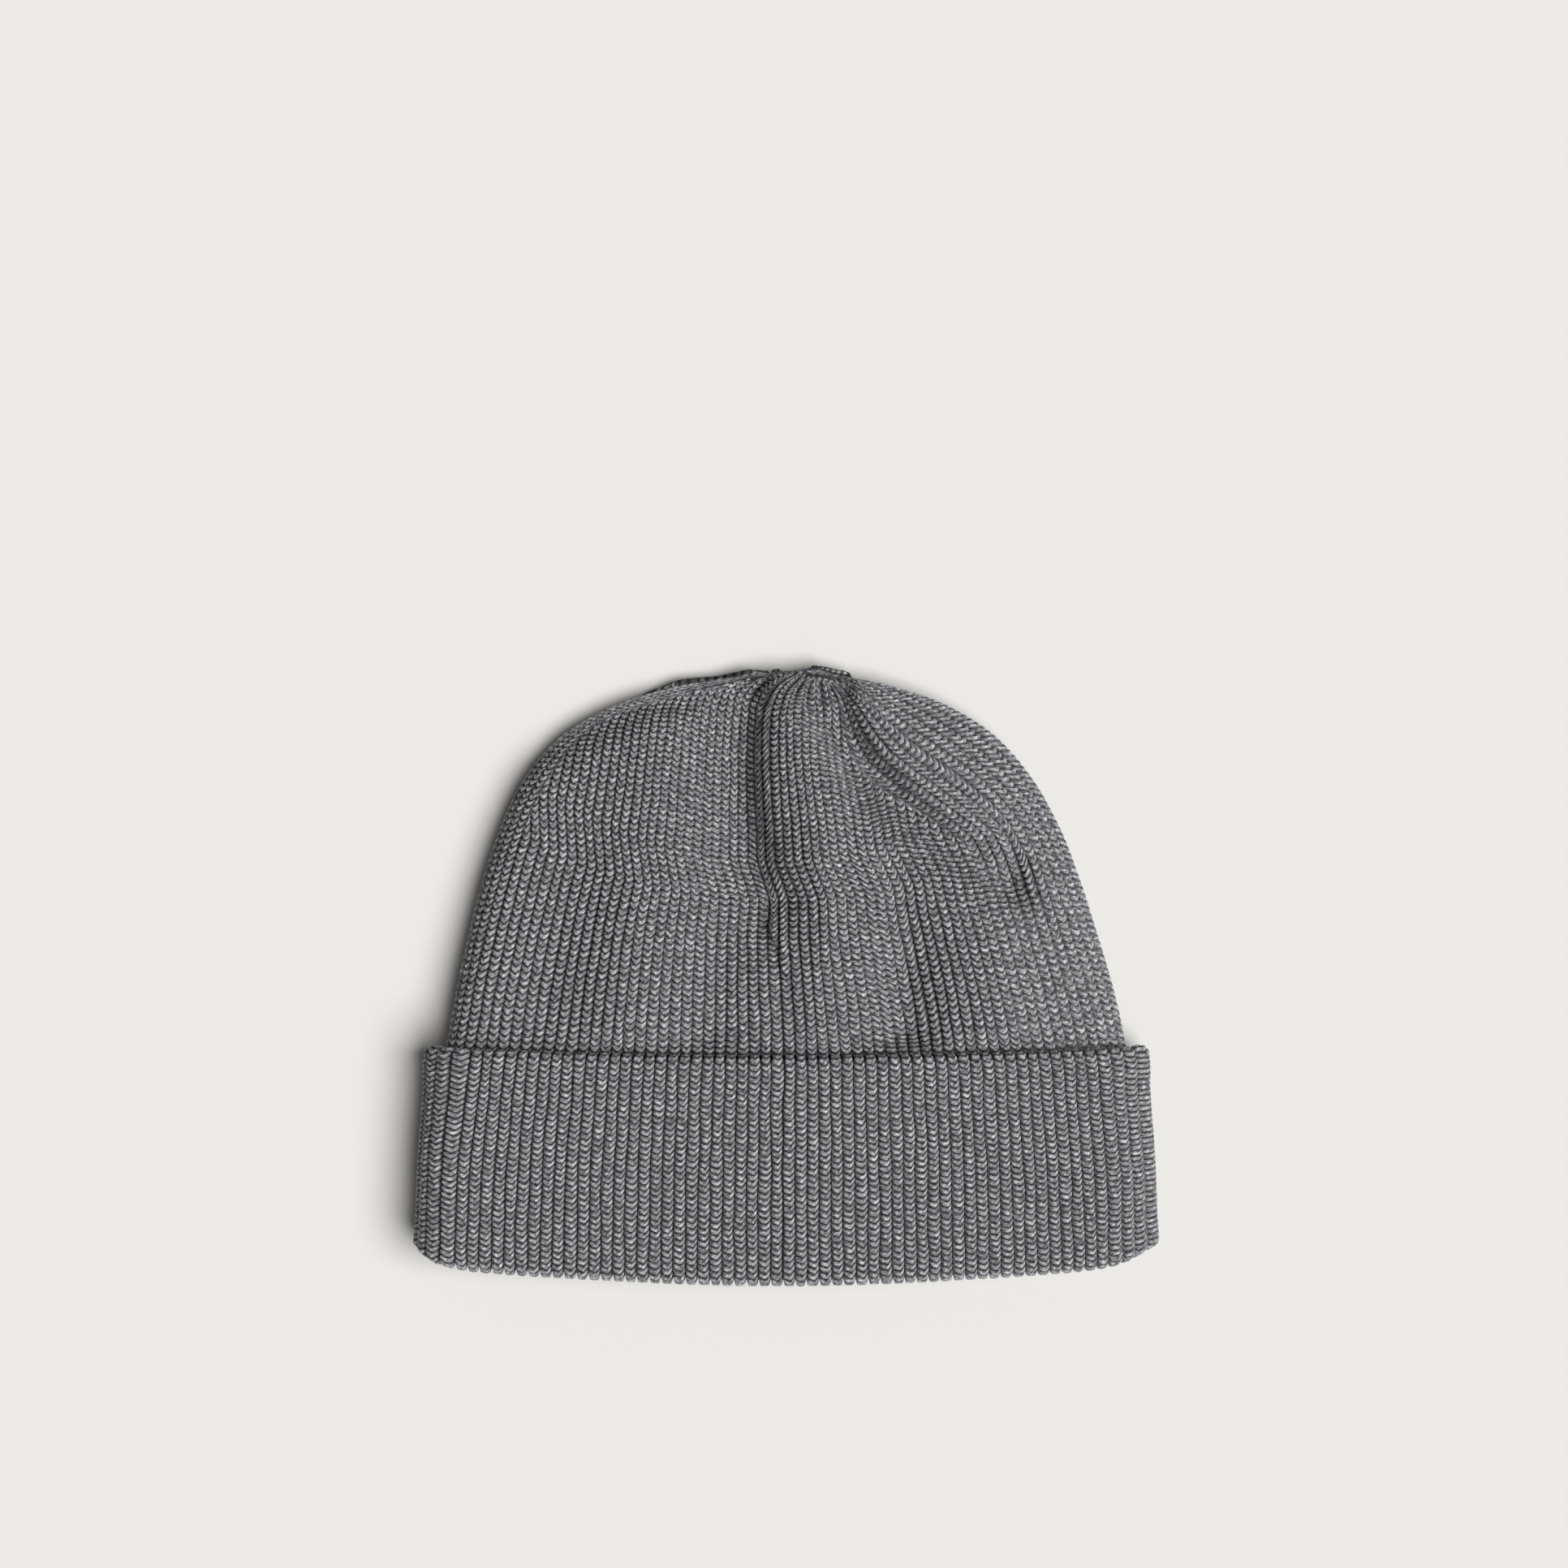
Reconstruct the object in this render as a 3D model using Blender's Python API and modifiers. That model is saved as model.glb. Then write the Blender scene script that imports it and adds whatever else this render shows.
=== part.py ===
"""A knit watch cap that lies on its back, with its cuff turned up and its crown towards +Y.

Metres, +Z up. The origin is on the floor, under the middle of the cap's outline seen from above.

The crown's outer face is one surface. Its level runs from -1 at the mouth through 0 at the cuff's
top edge to 1 at the tip, and its place runs from 0 at the right side over the front, through 0.5 at
the left side, and back to 1 along the floor. The cuff is laid over that surface, layer on layer.
"""

import bmesh
import bpy
import numpy as np

# Driving sizes
CROWN_WIDTH = 0.2034  # just above the cuff, as it lies
CROWN_RISE = 0.1158  # from the cuff's top edge to the tip
CROWN_THICKNESS = 0.026  # how high the crown lies
CUFF_HEIGHT = 0.0695  # from the cuff's top edge to the fold at the mouth
KNIT_WALL = 0.0028  # the cloth between its ribs
RIB_DEPTH = 0.0012  # how far a rib stands out of the cloth
RIB_COUNT = 124  # ribs round the cap
LAYER_GAP = 0.0006  # air between the crown and the cuff
CUFF_FLARE = 0.0029  # how far the cuff's top edge springs away from the crown
LIP_HEIGHT = 0.008  # how far the cuff's cloth reaches up inside the mouth
JOIN_GAP = 0.0008  # between the lip and the crown's lower edge
LEFT_ROUND = 0.008  # width of the rounding along the left side, above its widest line
RIGHT_ROUND = 0.012  # the same along the right side
FLOOR_ROUND = 0.0105  # the same under both sides, down to the floor
GATHER_COUNT = 19  # pleats that the tip is drawn into
GATHER_DEPTH = 0.0011  # how deep they are

# Fineness of the faceted surface
CROWN_COLUMNS = 76
FINE_STEPS = 240  # points along half a section before it is spaced evenly

# Sections of the crown's outer face. level, and side for how far up the sides of the same row of
# stitches lie, are shares of CUFF_HEIGHT below 0 and of CROWN_RISE above it. half and drift are
# shares of half CROWN_WIDTH: the section's half width and its middle. The rest are heights, as
# shares of CROWN_THICKNESS: top in the middle, left and right crest at the sides, the widest line
# of each side, and the underside.
SECTION_COLUMNS = (
    "level", "side", "half", "drift", "top", "left_crest", "right_crest",
    "left_widest", "right_widest", "underside",
)  # fmt: skip
SECTIONS = (
    (-1.00, -0.830, 1.065, 0.004, 0.89, 0.80, 0.54, 0.45, 0.34, 0.00),
    (-0.75, -0.700, 1.058, 0.005, 0.91, 0.81, 0.54, 0.45, 0.34, 0.00),
    (-0.50, -0.465, 1.049, 0.005, 0.92, 0.81, 0.54, 0.45, 0.34, 0.00),
    (-0.20, -0.170, 1.024, 0.005, 0.93, 0.78, 0.53, 0.43, 0.33, 0.00),
    (0.00, 0.018, 1.004, 0.004, 0.94, 0.73, 0.52, 0.40, 0.32, 0.00),
    (0.10, 0.163, 0.972, 0.000, 0.97, 0.69, 0.50, 0.37, 0.31, 0.00),
    (0.20, 0.305, 0.931, -0.006, 0.99, 0.66, 0.48, 0.35, 0.30, 0.00),
    (0.30, 0.447, 0.885, -0.011, 1.00, 0.63, 0.47, 0.32, 0.30, 0.00),
    (0.40, 0.586, 0.828, -0.015, 1.00, 0.61, 0.46, 0.29, 0.29, 0.00),
    (0.50, 0.717, 0.750, -0.021, 0.98, 0.60, 0.46, 0.28, 0.29, 0.00),
    (0.60, 0.828, 0.640, -0.023, 0.94, 0.59, 0.46, 0.28, 0.29, 0.00),
    (0.70, 0.905, 0.494, -0.017, 0.88, 0.58, 0.47, 0.28, 0.29, 0.00),
    (0.80, 0.952, 0.334, -0.009, 0.80, 0.56, 0.48, 0.29, 0.29, 0.00),
    (0.90, 0.980, 0.170, 0.014, 0.68, 0.53, 0.49, 0.30, 0.29, 0.02),
    (0.96, 0.992, 0.075, 0.034, 0.56, 0.50, 0.48, 0.30, 0.30, 0.09),
    (1.00, 1.000, 0.000, 0.041, 0.31, 0.31, 0.31, 0.31, 0.31, 0.31),
)

# Folds and soft swells of the front. Each runs along a bent line: across is a share of half
# CROWN_WIDTH from the middle, up a share of CROWN_RISE. The other columns are shares of
# CROWN_THICKNESS: the depth, below 0 for a swell, which ends as end_depth, and the widths of the
# side on the left hand of the line, seen from its start, and of the far side.
FOLD_COLUMNS = (
    "name", "start_across", "start_up", "bend_across", "bend_up", "end_across", "end_up",
    "depth", "end_depth", "width", "far_width",
)  # fmt: skip
FOLDS = (
    ("middle dart", -0.130, 0.90, -0.155, 0.62, -0.080, 0.43, 0.26, 0.20, 0.24, 0.55),
    ("middle dart's tail", -0.080, 0.50, -0.03, 0.36, 0.10, 0.22, 0.12, 0.00, 0.36, 0.50),
    ("right dart", 0.135, 0.90, 0.15, 0.70, 0.60, 0.50, 0.24, 0.20, 0.30, 0.40),
    ("left dart", -0.20, 0.95, -0.465, 0.90, -0.70, 0.81, 0.11, 0.08, 0.20, 0.20),
    ("left swell", -0.49, 0.04, -0.47, 0.35, -0.36, 0.70, -0.12, -0.05, 0.45, 0.45),
    ("middle swell", 0.10, 0.04, 0.11, 0.45, 0.07, 0.90, -0.12, -0.10, 0.32, 0.34),
    ("right swell", 0.62, 0.04, 0.60, 0.25, 0.50, 0.42, -0.14, -0.04, 0.42, 0.42),
    ("left hollow", -0.72, 0.04, -0.72, 0.25, -0.62, 0.50, 0.06, 0.02, 0.36, 0.36),
    ("middle hollow", -0.21, 0.04, -0.22, 0.30, -0.16, 0.50, 0.10, 0.04, 0.34, 0.34),
    ("right hollow", 0.36, 0.04, 0.35, 0.25, 0.32, 0.44, 0.30, 0.12, 0.33, 0.34),
)

# What follows from the sizes
HALF_WIDTH = CROWN_WIDTH / 2
CUFF_LINE = (CUFF_HEIGHT - CROWN_RISE) / 2  # Y of the cuff's top edge
LAYER = KNIT_WALL + LAYER_GAP
FOLD_TURNS = np.radians((60, 120, 180))  # facets of the cuff's fold
FOLD_RIB = RIB_DEPTH * (1 + np.cos(FOLD_TURNS)) / 2  # ribs fade out round the fold
FOLD_REACH = KNIT_WALL + LAYER_GAP / 2
FOLD_LEVEL = (FOLD_REACH + FOLD_RIB[0]) * np.sin(FOLD_TURNS[0]) / CUFF_HEIGHT - 1
LIP_LEVEL = FOLD_LEVEL + LIP_HEIGHT / CUFF_HEIGHT
CROWN_EDGE_LEVEL = LIP_LEVEL + JOIN_GAP / CUFF_HEIGHT

# Where the crown comes down off the cuff's back layer onto the floor, as levels
STEP_START = 0.03
STEP_END = 0.30

# How the sides of the mouth sweep up: a tight corner and a long slow rise, as shares of the sweep
CORNER_SHARE = 0.67
CORNER_WIDTH = 0.075
SWEEP_START = -0.5

GATHER_START = 0.66  # level from which the tip is pleated
GATHER_FULL = 0.90
DIP_RAMP = 0.16  # height over which a fold reaches its depth, from the widest line up
DIP_FADE = 0.80  # level from which the folds fade out towards the tip
DIP_STOP = 0.94  # level where none is left
FADE_START = 0.35  # share of a fold's line after which it turns to its end depth
CURVE_STEPS = 14
NEAR = 1e-4  # step for measuring the surface's slope

KNIT_GREY = (0.135, 0.132, 0.142, 1.0)
CUFF_GREY = (0.128, 0.125, 0.134, 1.0)


def along_cap(share):
    """Distance from the cuff's top edge along Y for a level."""
    share = np.asarray(share, float)
    return np.where(share < 0, share * CUFF_HEIGHT, share * CROWN_RISE)


def section_table():
    """The sections as a dictionary of columns, with the lengths along Y in metres."""
    columns = dict(zip(SECTION_COLUMNS, np.array(SECTIONS).T))
    columns["middle"] = along_cap(columns["level"])
    columns["side"] = along_cap(columns["side"])
    return columns


SECTION = section_table()


def at_level(level, name):
    """A column of the sections at any level, on a smooth curve through its rows."""
    level = np.clip(level, -1.0, 1.0)
    levels, values = SECTION["level"], SECTION[name]
    slopes = np.gradient(values, levels)
    row = np.clip(np.searchsorted(levels, level, side="right") - 1, 0, len(levels) - 2)
    span = levels[row + 1] - levels[row]
    s = (level - levels[row]) / span
    rise = values[row + 1] - values[row]
    bow = (1 - s) * (slopes[row] * span - rise) - s * (slopes[row + 1] * span - rise)
    return values[row] + s * rise + s * (1 - s) * bow


def ramp(x, low, high):
    """0 below low, 1 above high, smooth between."""
    s = np.clip((x - low) / (high - low), 0, 1)
    return s * s * (3 - 2 * s)


def bulge(distance, width):
    """A quarter of an ellipse: 0 at the edge, 1 from width inwards."""
    return np.sqrt(1 - (1 - np.clip(distance / width, 0, 1)) ** 2)


def rounding(width, half):
    """The rounding's width, which shrinks where the section gets narrow."""
    return width * (1 - np.exp(-half / width)) + 1e-9


def half_section(level, front):
    """Fine points of half a section, from the right side to the left: across (-1 to 1), x and z."""
    across = np.cos(np.linspace(0, np.pi, FINE_STEPS))
    half = max(float(at_level(level, "half")), 0) * HALF_WIDTH
    x = float(at_level(level, "drift")) * HALF_WIDTH + half * across
    inwards = (1 - np.abs(across)) * half
    right = across > 0
    size = CROWN_THICKNESS
    middle_widest = (at_level(level, "left_widest") + at_level(level, "right_widest")) / 2
    lean = (at_level(level, "right_widest") - at_level(level, "left_widest")) / 2
    widest = size * (middle_widest + lean * across)
    if front:
        top = at_level(level, "top")
        crest = np.where(right, at_level(level, "right_crest"), at_level(level, "left_crest"))
        crest = size * (top - (top - crest) * across**2)
        width = np.where(right, rounding(RIGHT_ROUND, half), rounding(LEFT_ROUND, half))
        z = widest + (crest - widest) * bulge(inwards, width)
    else:
        lift = LAYER * (1 - ramp(level, STEP_START, STEP_END))
        floor = np.maximum(size * at_level(level, "underside"), 0) + lift
        z = floor + (widest - floor) * (1 - bulge(inwards, rounding(FLOOR_ROUND, half)))
    return across, x, z


def sweep_up(level, across, round_share):
    """How far towards the sides' height a row of stitches has come, 0 in the middle, 1 at a side."""
    corner = CORNER_SHARE / (1 + (round_share / CORNER_WIDTH) ** 2)
    slow = (1 - CORNER_SHARE) * np.cos(round_share * np.pi / 2) ** 2
    tight = 1 - ramp(level, -1.0, SWEEP_START)
    return tight * (corner + slow) + (1 - tight) * across**2


def section(level, places):
    """Points of the closed section at a level, one for each place, evenly spaced round each half."""
    points = np.zeros((len(places), 3))
    middle = float(at_level(level, "middle"))
    side = float(at_level(level, "side"))
    for front in (True, False):
        across, x, z = half_section(level, front)
        steps = np.hypot(np.diff(x), np.diff(z)) + 1e-12
        along = np.concatenate(([0], np.cumsum(steps)))
        along /= along[-1]
        chosen = (places < 0.5) if front else (places >= 0.5)
        wanted = places[chosen] * 2 if front else 2 - places[chosen] * 2
        here = np.interp(wanted, along, across)
        points[chosen, 0] = np.interp(wanted, along, x)
        points[chosen, 2] = np.interp(wanted, along, z)
        round_share = 1 - np.abs(2 * wanted - 1)
        swept = middle + (side - middle) * sweep_up(level, here, round_share)
        points[chosen, 1] = CUFF_LINE + swept
    return points


def fold_line(fold):
    """Points along a fold's bent line, in metres from the cuff's top edge."""
    s = np.linspace(0, 1, CURVE_STEPS)[:, None]
    start = np.array((fold["start_across"], fold["start_up"]))
    bend = np.array((fold["bend_across"], fold["bend_up"]))
    end = np.array((fold["end_across"], fold["end_up"]))
    line = (1 - s) ** 2 * start + 2 * s * (1 - s) * bend + s**2 * end
    return line * (HALF_WIDTH, CROWN_RISE)


def fold_depth(x, y):
    """How far the front is pushed in at a point of the plan."""
    depth = np.zeros_like(x)
    for row in FOLDS:
        fold = dict(zip(FOLD_COLUMNS, row))
        line = fold_line(fold)
        nearest = np.full(x.shape, np.inf)
        near_side = np.zeros(x.shape, bool)
        passed = np.zeros(x.shape)
        for i, ((ax, ay), (bx, by)) in enumerate(zip(line[:-1], line[1:])):
            length = (bx - ax) ** 2 + (by - ay) ** 2
            s = np.clip(((x - ax) * (bx - ax) + (y - ay) * (by - ay)) / length, 0, 1)
            away = (x - ax - s * (bx - ax)) ** 2 + (y - ay - s * (by - ay)) ** 2
            closer = away < nearest
            nearest = np.where(closer, away, nearest)
            side = (bx - ax) * (y - ay) - (by - ay) * (x - ax) > 0
            near_side = np.where(closer, side, near_side)
            passed = np.where(closer, (i + s) / (CURVE_STEPS - 1), passed)
        width = np.where(near_side, fold["width"], fold["far_width"]) * CROWN_THICKNESS
        deep = fold["depth"] + (fold["end_depth"] - fold["depth"]) * ramp(passed, FADE_START, 1)
        depth += deep * CROWN_THICKNESS * np.exp(-nearest / width**2)
    return depth


def folded(levels, places):
    """Grid of points with the folds of the front, rows by places."""
    grid = np.array([section(level, places) for level in levels])
    levels = np.asarray(levels)[:, None]
    widest = CROWN_THICKNESS * at_level(levels, "left_widest")
    upper = ramp(grid[:, :, 2] - widest, 0, DIP_RAMP * CROWN_THICKNESS)
    upper = upper * (places < 0.5)[None, :] * ramp(levels, 0.0, 0.06)
    upper = upper * (1 - ramp(levels, DIP_FADE, DIP_STOP))
    grid[:, :, 2] -= upper * fold_depth(grid[:, :, 0], grid[:, :, 1] - CUFF_LINE)
    return grid


def outwards(levels, places):
    """The surface's unit normals, rows by places."""
    levels = np.asarray(levels, float)
    up = folded(np.minimum(levels + NEAR, 1), places) - folded(levels - NEAR, places)
    round_it = folded(levels, (places + NEAR) % 1) - folded(levels, (places - NEAR) % 1)
    normal = np.cross(up, round_it)
    length = np.linalg.norm(normal, axis=2, keepdims=True)
    return normal / np.maximum(length, 1e-12)


def crown_face(levels, places):
    """The crown's outer face, with the pleats round its tip."""
    grid = folded(levels, places)
    level = np.asarray(levels)[:, None]
    fullness = ramp(level, GATHER_START, GATHER_FULL) * (1 - ramp(level, 0.93, 1.0))
    pleats = np.cos(2 * np.pi * GATHER_COUNT * places)[None, :] * fullness
    pleats = pleats * np.where(places < 0.5, 1, 0)[None, :]
    inner = outwards(np.minimum(levels, 1 - 2 * NEAR), places)
    return grid + inner * (pleats * GATHER_DEPTH)[:, :, None]


def cuff_face(places):
    """The cuff's outer face: down its outer layer, round the fold and up the lip inside."""
    rib = (1 + np.cos(2 * np.pi * RIB_COUNT * places)) / 2
    rows = []

    def pressed(normal):
        """Ribs are flat where the cap lies on them."""
        return ramp(normal[:, 2], -0.9, -0.3)

    for level, flare in ((0.0, 1.0), (-0.45, 0.12), (FOLD_LEVEL, 0.0)):
        edge = np.array([level])
        point = folded(edge, places)[0]
        normal = outwards(np.minimum(edge, -2 * NEAR), places)[0]
        free = pressed(normal)
        stand = LAYER + free * (rib * RIB_DEPTH + flare * CUFF_FLARE)
        rows.append(point + normal * stand[:, None])

    edge = np.array([FOLD_LEVEL])
    point = folded(edge, places)[0]
    normal = outwards(edge, places)[0]
    round_it = folded(edge, (places + NEAR) % 1)[0] - folded(edge, (places - NEAR) % 1)[0]
    down = np.cross(normal, round_it)
    down /= np.linalg.norm(down, axis=1, keepdims=True)
    centre = point + normal * LAYER_GAP / 2
    for turn, fold_rib in zip(FOLD_TURNS, FOLD_RIB):
        stand = FOLD_REACH + pressed(normal) * rib * fold_rib
        way = normal * np.cos(turn) + down * np.sin(turn)
        rows.append(centre + way * stand[:, None])

    edge = np.array([LIP_LEVEL])
    rows.append(folded(edge, places)[0] - outwards(edge, places)[0] * KNIT_WALL)
    return np.array(rows)


def knit_material(name, colour):
    """Matt wool-like yarn."""
    material = bpy.data.materials.new(name)
    material.use_nodes = True
    shader = material.node_tree.nodes["Principled BSDF"]
    shader.inputs["Base Color"].default_value = colour
    shader.inputs["Roughness"].default_value = 0.95
    shader.inputs["Metallic"].default_value = 0.0
    return material


def loft(name, grid, closed_tip, even_wall, material, collection):
    """A wall under the grid's rows, closed round each row, and to a point where asked."""
    mesh_data = bmesh.new()
    rows = grid[:-1] if closed_tip else grid
    verts = [[mesh_data.verts.new(point) for point in row] for row in rows]
    count = grid.shape[1]
    for lower, upper in zip(verts[:-1], verts[1:]):
        for i in range(count):
            j = (i + 1) % count
            mesh_data.faces.new((lower[i], upper[i], upper[j], lower[j]))
    if closed_tip:
        tip = mesh_data.verts.new(grid[-1].mean(axis=0))
        for i in range(count):
            mesh_data.faces.new((verts[-1][i], tip, verts[-1][(i + 1) % count]))
    mesh = bpy.data.meshes.new(name)
    mesh_data.to_mesh(mesh)
    mesh_data.free()
    mesh.shade_smooth()
    mesh.materials.append(material)
    piece = bpy.data.objects.new(name, mesh)
    collection.objects.link(piece)
    wall = piece.modifiers.new("wall", "SOLIDIFY")
    wall.thickness = KNIT_WALL
    wall.offset = -1
    wall.use_even_offset = even_wall
    return piece


def build_crown(collection):
    """The dome and the part of it that runs down inside the cuff."""
    places = np.arange(CROWN_COLUMNS) / CROWN_COLUMNS
    inside = (CROWN_EDGE_LEVEL, -0.45, 0.0)
    dome = (0.08, 0.17, 0.28, 0.39, 0.50, 0.60, 0.69, 0.77, 0.845, 0.91, 0.96, 1.0)
    grid = crown_face(np.array(inside + dome), places)
    return loft("crown", grid, True, True, knit_material("crown_knit", KNIT_GREY), collection)


def build_cuff(collection):
    """The turned-up band, with one column on each rib and one in each channel."""
    places = np.arange(2 * RIB_COUNT) / (2 * RIB_COUNT)
    grid = cuff_face(places)[::-1]
    return loft("cuff", grid, False, False, knit_material("cuff_knit", CUFF_GREY), collection)


def clear_scene():
    """Removes every object that the file opens with."""
    for thing in list(bpy.data.objects):
        bpy.data.objects.remove(thing, do_unlink=True)


def main():
    clear_scene()
    collection = bpy.data.collections.new("knit_watch_cap")
    bpy.context.scene.collection.children.link(collection)
    build_crown(collection)
    build_cuff(collection)


main()
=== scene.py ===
"""The looks of the knit watch cap: every stitch of the crown and the cuff as displaced cloth.

The cloth lies over the surface of the CAD solids, with deeper darts and a slightly lower left side.
A level runs from -1 at the mouth through 0 at the cuff's top edge to 1 at the tip. A share runs from
0 at the right side to 1 at the left side, over the front or along the back on the floor.
"""

import math

import bpy
import numpy as np
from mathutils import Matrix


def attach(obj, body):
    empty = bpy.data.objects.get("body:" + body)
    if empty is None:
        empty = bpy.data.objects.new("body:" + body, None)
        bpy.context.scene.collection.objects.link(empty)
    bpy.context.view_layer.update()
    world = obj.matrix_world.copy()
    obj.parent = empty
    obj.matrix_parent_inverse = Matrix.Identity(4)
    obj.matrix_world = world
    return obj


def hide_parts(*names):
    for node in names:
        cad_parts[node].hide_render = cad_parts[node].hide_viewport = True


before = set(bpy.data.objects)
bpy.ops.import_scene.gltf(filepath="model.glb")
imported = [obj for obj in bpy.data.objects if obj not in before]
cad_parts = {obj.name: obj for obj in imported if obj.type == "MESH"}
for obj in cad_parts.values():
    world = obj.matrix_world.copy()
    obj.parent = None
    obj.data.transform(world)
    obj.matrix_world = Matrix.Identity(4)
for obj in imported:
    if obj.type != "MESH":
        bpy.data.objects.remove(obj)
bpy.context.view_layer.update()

# Sizes of the cap in metres, as the CAD has them
CROWN_WIDTH = 0.2034
CROWN_RISE = 0.1158
CROWN_THICKNESS = 0.026
CUFF_HEIGHT = 0.0695
KNIT_WALL = 0.0028
RIB_COUNT = 124
LAYER_GAP = 0.0006
CUFF_FLARE = 0.0029
LEFT_ROUND = 0.008
RIGHT_ROUND = 0.012
FLOOR_ROUND = 0.0105

# Sections, a little lower along the left side than the solids'
SECTION_COLUMNS = (
    "level", "side", "half", "drift", "top", "left_crest", "right_crest",
    "left_widest", "right_widest", "underside",
)  # fmt: skip
SECTIONS = (
    (-1.00, -0.830, 1.065, 0.004, 0.89, 0.80, 0.54, 0.45, 0.34, 0.00),
    (-0.75, -0.700, 1.058, 0.005, 0.91, 0.81, 0.54, 0.45, 0.34, 0.00),
    (-0.50, -0.465, 1.049, 0.005, 0.92, 0.81, 0.54, 0.45, 0.34, 0.00),
    (-0.20, -0.170, 1.024, 0.005, 0.93, 0.78, 0.53, 0.43, 0.33, 0.00),
    (0.00, 0.018, 1.004, 0.004, 0.94, 0.73, 0.52, 0.40, 0.32, 0.00),
    (0.10, 0.163, 0.972, 0.000, 0.97, 0.67, 0.50, 0.35, 0.31, 0.00),
    (0.20, 0.305, 0.931, -0.006, 0.99, 0.63, 0.48, 0.32, 0.30, 0.00),
    (0.30, 0.447, 0.885, -0.011, 1.00, 0.59, 0.47, 0.29, 0.30, 0.00),
    (0.40, 0.586, 0.828, -0.015, 1.00, 0.57, 0.46, 0.26, 0.29, 0.00),
    (0.50, 0.717, 0.750, -0.021, 0.98, 0.55, 0.46, 0.24, 0.29, 0.00),
    (0.60, 0.828, 0.640, -0.023, 0.94, 0.54, 0.46, 0.23, 0.29, 0.00),
    (0.70, 0.905, 0.494, -0.017, 0.88, 0.53, 0.47, 0.23, 0.29, 0.00),
    (0.80, 0.952, 0.334, -0.009, 0.80, 0.52, 0.48, 0.23, 0.29, 0.00),
    (0.90, 0.980, 0.170, 0.014, 0.68, 0.50, 0.49, 0.25, 0.29, 0.02),
    (0.96, 0.992, 0.075, 0.034, 0.56, 0.49, 0.48, 0.28, 0.30, 0.09),
    (1.00, 1.000, 0.000, 0.041, 0.31, 0.31, 0.31, 0.31, 0.31, 0.31),
)

# Folds and swells of the front. The darts are deeper than the solids', whose walls are thick.
FOLD_COLUMNS = (
    "name", "start_across", "start_up", "bend_across", "bend_up", "end_across", "end_up",
    "depth", "end_depth", "width", "far_width",
)  # fmt: skip
FOLDS = (
    ("middle dart", -0.125, 0.96, -0.150, 0.60, -0.065, 0.39, 0.66, 0.24, 0.24, 0.62),
    ("middle dart's tail", -0.080, 0.54, -0.02, 0.38, 0.14, 0.20, 0.22, 0.00, 0.34, 0.50),
    ("right dart", 0.125, 0.96, 0.15, 0.70, 0.66, 0.46, 0.72, 0.36, 0.21, 0.30),
    ("left dart", -0.22, 0.95, -0.465, 0.89, -0.70, 0.79, 0.16, 0.10, 0.16, 0.30),
    ("left swell", -0.49, 0.04, -0.47, 0.35, -0.36, 0.70, -0.12, -0.05, 0.45, 0.45),
    ("middle swell", 0.10, 0.04, 0.11, 0.45, 0.07, 0.90, -0.12, -0.10, 0.32, 0.34),
    ("right swell", 0.62, 0.04, 0.60, 0.25, 0.50, 0.42, -0.14, -0.04, 0.42, 0.42),
    ("left hollow", -0.72, 0.04, -0.72, 0.25, -0.62, 0.50, 0.06, 0.02, 0.36, 0.36),
    ("middle hollow", -0.21, 0.04, -0.22, 0.30, -0.16, 0.50, 0.10, 0.04, 0.34, 0.34),
    ("right hollow", 0.36, 0.04, 0.35, 0.25, 0.32, 0.44, 0.30, 0.12, 0.33, 0.34),
)

HALF_WIDTH = CROWN_WIDTH / 2
CUFF_LINE = (CUFF_HEIGHT - CROWN_RISE) / 2
LAYER = KNIT_WALL + LAYER_GAP
FOLD_REACH = KNIT_WALL + LAYER_GAP / 2
FOLD_LEVEL = (FOLD_REACH + 0.0009) * math.sin(math.radians(60)) / CUFF_HEIGHT - 1
STEP_START = 0.03
STEP_END = 0.30
CORNER_SHARE = 0.67
CORNER_WIDTH = 0.075
SWEEP_START = -0.5
DIP_RAMP = 0.16
DIP_START = 0.06  # level at which the folds have their full depth
DIP_LIMIT = 4  # how sharply a fold stops short of the widest line
FADE_START = 0.35  # share of a fold's line after which it turns to its end depth
CURVE_STEPS = 14
FINE_STEPS = 400
ARC_STEPS = 121
LEAST_ROOM = 1e-4  # keeps the division by the room under a fold possible

# Stitches. A pitch is the height of one course; it grows towards the sides of the crown.
SEED = 7
FRONT_WALES = RIB_COUNT // 2
CUFF_PITCH = 0.00180
CROWN_PITCH = 0.00186
CROWN_SIDE_PITCH = 0.00215
CUFF_RELIEF = 0.0022
CROWN_RELIEF = 0.0017
CUFF_SUNK = 0.45  # share of the relief that lies below the surface, so that the rest stands out
CROWN_SUNK = 0.60
CUFF_WANDER = 0.00016
CROWN_WANDER = 0.00012
WANDER_COURSES = 5
CUFF_JITTER = 0.10  # courses by which neighbouring wales are out of step
CROWN_JITTER = 0.12
PRESSED_RANGE = (-0.98, -0.5)  # a normal's Z, from flat on the floor to free of it
CUFF_PRESSED = 0.30  # share of the relief left where the cloth is pressed on the floor
CROWN_PRESSED = 0.35
WALE_RANGE = (0.05, 1.25)  # narrowest and widest wale, as shares of an even one
TIP_FADE = 0.004
TIP_MARGIN = 1e-6

# Less painted shade where wales crowd and their gaps close up, and painted light on the right side
LEAST_OPEN = 0.80
CROWDED_RANGE = (0.25, 0.85)
RIGHT_PAINTED_LIGHT = 0.15
RIGHT_RANGE = (0.78, 0.97)

# Pleats at the tip, over two wales each. The first two are distances from the tip.
GATHER_START = 0.024
GATHER_END = 0.010
GATHER_DEPTH = 0.0012
# Painted shade that darkens the pleats' creases
GATHER_PAINTED_SHADE = 0.75

# Rows of the crown's path, first those hidden inside the cuff
CROWN_LOW = -0.12
HIDDEN_ROWS = 13
SHOWN_ROWS = 330

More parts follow.
